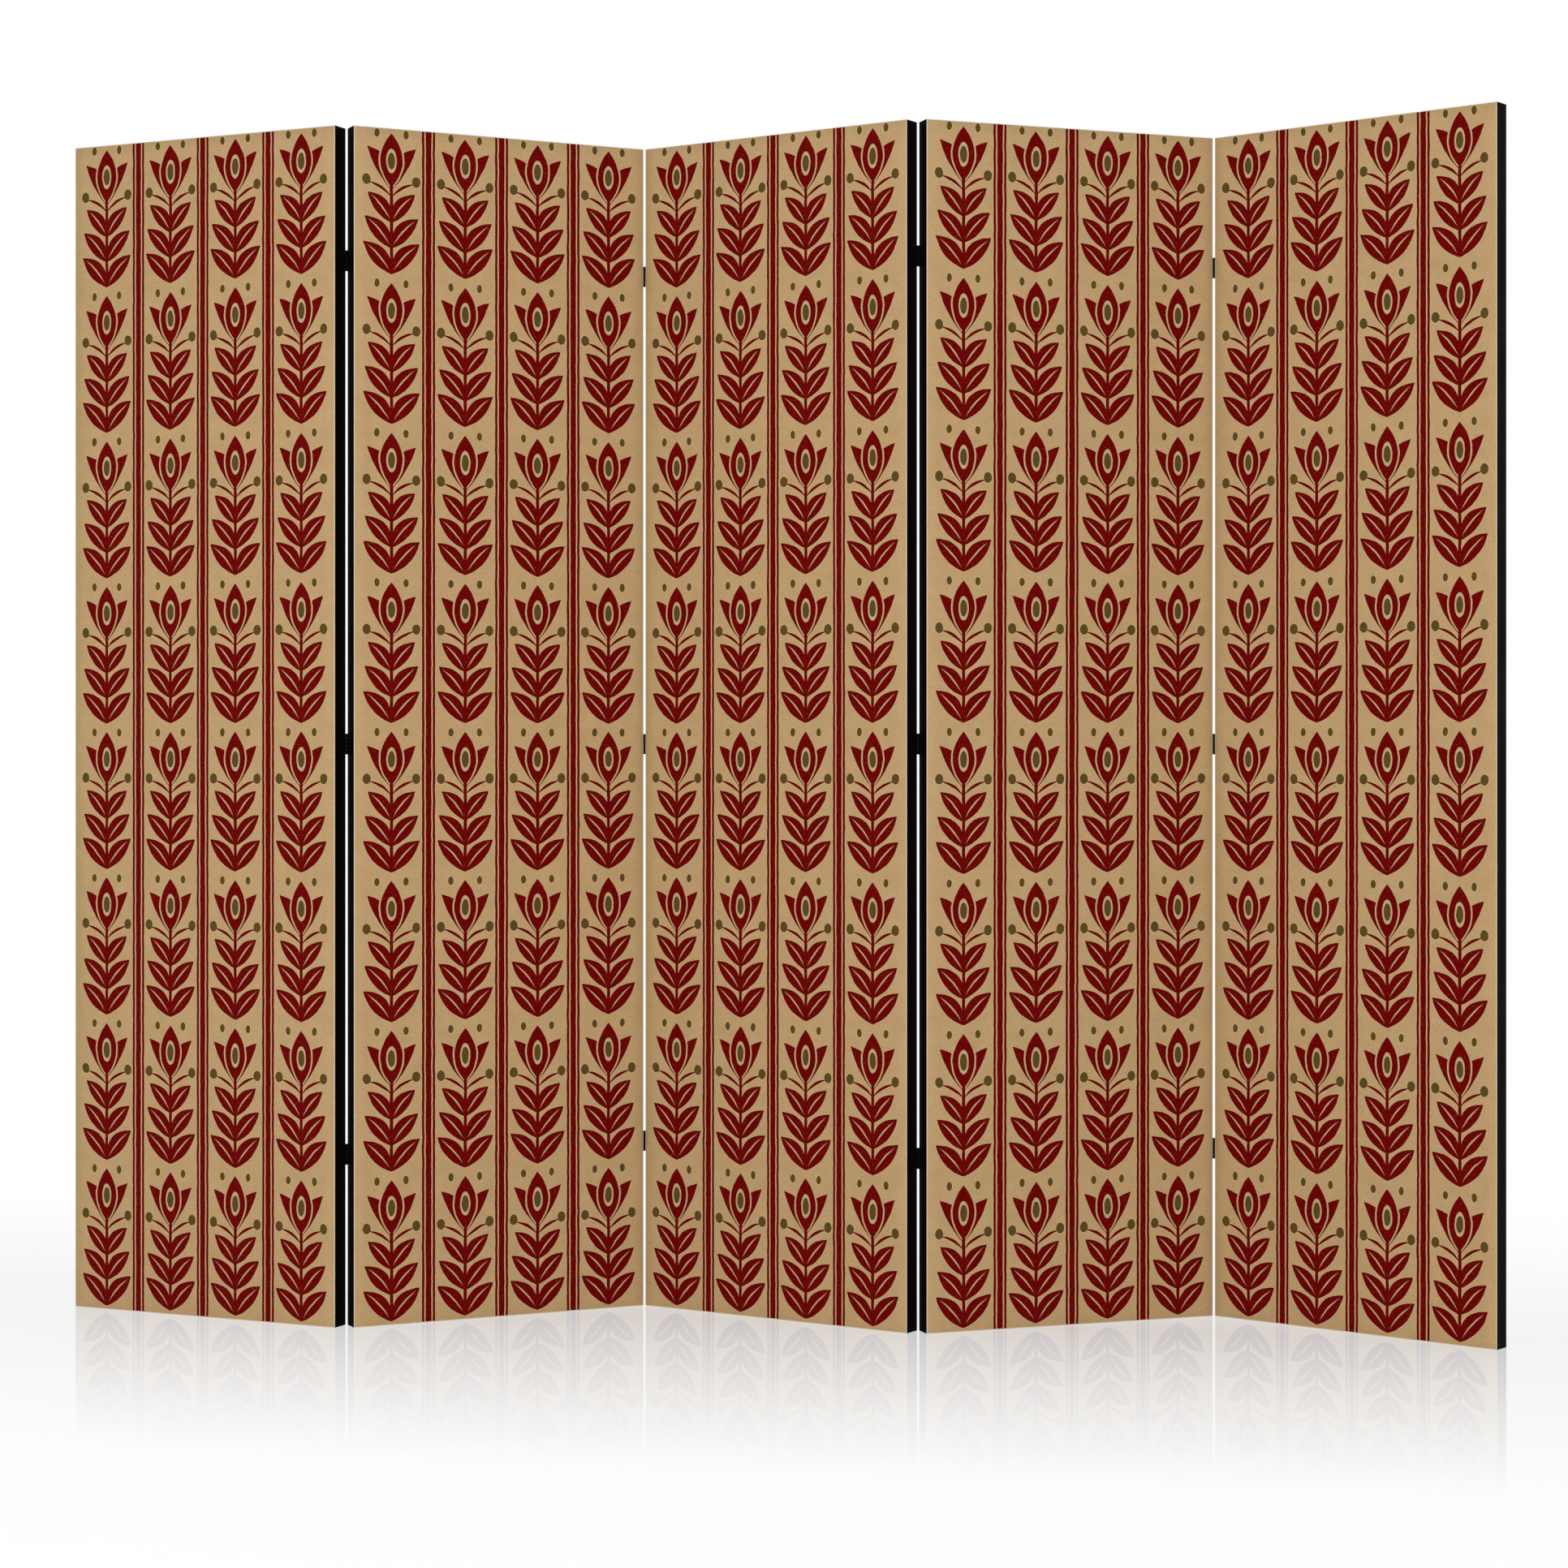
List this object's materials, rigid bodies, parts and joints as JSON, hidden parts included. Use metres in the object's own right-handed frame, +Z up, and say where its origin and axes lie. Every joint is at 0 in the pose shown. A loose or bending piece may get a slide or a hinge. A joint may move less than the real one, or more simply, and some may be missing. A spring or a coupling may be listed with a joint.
{
  "type": "folding screen",
  "caption": "Free-standing zigzag folding screen: timber-framed panels faced with block-printed canvas, joined edge to edge by small black butt hinges.",
  "frame": {"origin": "middle of the screen's box at floor level, with the panels at their rest folds", "axes": "+X along the row of panels to the right as seen from the printed side, +Y from the printed side towards the back, +Z up"},
  "size_m": [2.0802, 0.35, 1.72],
  "materials": {
    "black_painted_wood": "matt black paint on softwood",
    "printed_canvas": "tan canvas with a dark red and olive block print",
    "black_cloth": "plain black cloth",
    "black_steel": "satin black coated steel",
    "staple_steel": "galvanised wire"
  },
  "bodies": {
    "panel_1": {"panel_1_left_stile": "black_painted_wood", "panel_1_right_stile": "black_painted_wood", "panel_1_top_rail": "black_painted_wood", "panel_1_middle_rail": "black_painted_wood", "panel_1_bottom_rail": "black_painted_wood", "panel_1_front_canvas": "printed_canvas", "panel_1_back_cloth": "black_cloth", "panel_1_back_staples": "staple_steel", "panel_1_hinge_screws": "black_steel", "seam_1_2_left_leaves": "black_steel", "seam_1_2_pins": "black_steel"},
    "panel_2": {"panel_2_left_stile": "black_painted_wood", "panel_2_right_stile": "black_painted_wood", "panel_2_top_rail": "black_painted_wood", "panel_2_middle_rail": "black_painted_wood", "panel_2_bottom_rail": "black_painted_wood", "panel_2_front_canvas": "printed_canvas", "panel_2_back_cloth": "black_cloth", "panel_2_back_staples": "staple_steel", "panel_2_hinge_screws": "black_steel", "seam_1_2_right_leaves": "black_steel", "seam_2_3_left_leaves": "black_steel", "seam_2_3_pins": "black_steel"},
    "panel_3": {"panel_3_left_stile": "black_painted_wood", "panel_3_right_stile": "black_painted_wood", "panel_3_top_rail": "black_painted_wood", "panel_3_middle_rail": "black_painted_wood", "panel_3_bottom_rail": "black_painted_wood", "panel_3_front_canvas": "printed_canvas", "panel_3_back_cloth": "black_cloth", "panel_3_back_staples": "staple_steel", "panel_3_hinge_screws": "black_steel", "seam_2_3_right_leaves": "black_steel", "seam_3_4_left_leaves": "black_steel", "seam_3_4_pins": "black_steel"},
    "panel_4": {"panel_4_left_stile": "black_painted_wood", "panel_4_right_stile": "black_painted_wood", "panel_4_top_rail": "black_painted_wood", "panel_4_middle_rail": "black_painted_wood", "panel_4_bottom_rail": "black_painted_wood", "panel_4_front_canvas": "printed_canvas", "panel_4_back_cloth": "black_cloth", "panel_4_back_staples": "staple_steel", "panel_4_hinge_screws": "black_steel", "seam_3_4_right_leaves": "black_steel", "seam_4_5_left_leaves": "black_steel", "seam_4_5_pins": "black_steel"},
    "panel_5": {"panel_5_left_stile": "black_painted_wood", "panel_5_right_stile": "black_painted_wood", "panel_5_top_rail": "black_painted_wood", "panel_5_middle_rail": "black_painted_wood", "panel_5_bottom_rail": "black_painted_wood", "panel_5_front_canvas": "printed_canvas", "panel_5_back_cloth": "black_cloth", "panel_5_back_staples": "staple_steel", "panel_5_hinge_screws": "black_steel", "seam_4_5_right_leaves": "black_steel"}
  },
  "joints": [
    {"name": "seam_2_3_fold", "type": "hinge", "parent": "panel_3", "child": "panel_2", "pos_m": [-0.21018, 0.09265, 0], "axis": [0, 0, 1], "range_deg": [-58, 117]},
    {"name": "seam_1_2_fold", "type": "hinge", "parent": "panel_2", "child": "panel_1", "pos_m": [-0.59549, -0.14529, 0], "axis": [0, 0, -1], "range_deg": [-50, 130]},
    {"name": "seam_3_4_fold", "type": "hinge", "parent": "panel_3", "child": "panel_4", "pos_m": [0.22028, -0.04802, 0], "axis": [0, 0, 1], "range_deg": [-52, 123]},
    {"name": "seam_4_5_fold", "type": "hinge", "parent": "panel_4", "child": "panel_5", "pos_m": [0.62835, 0.14835, 0], "axis": [0, 0, -1], "range_deg": [-58, 122]}
  ]
}
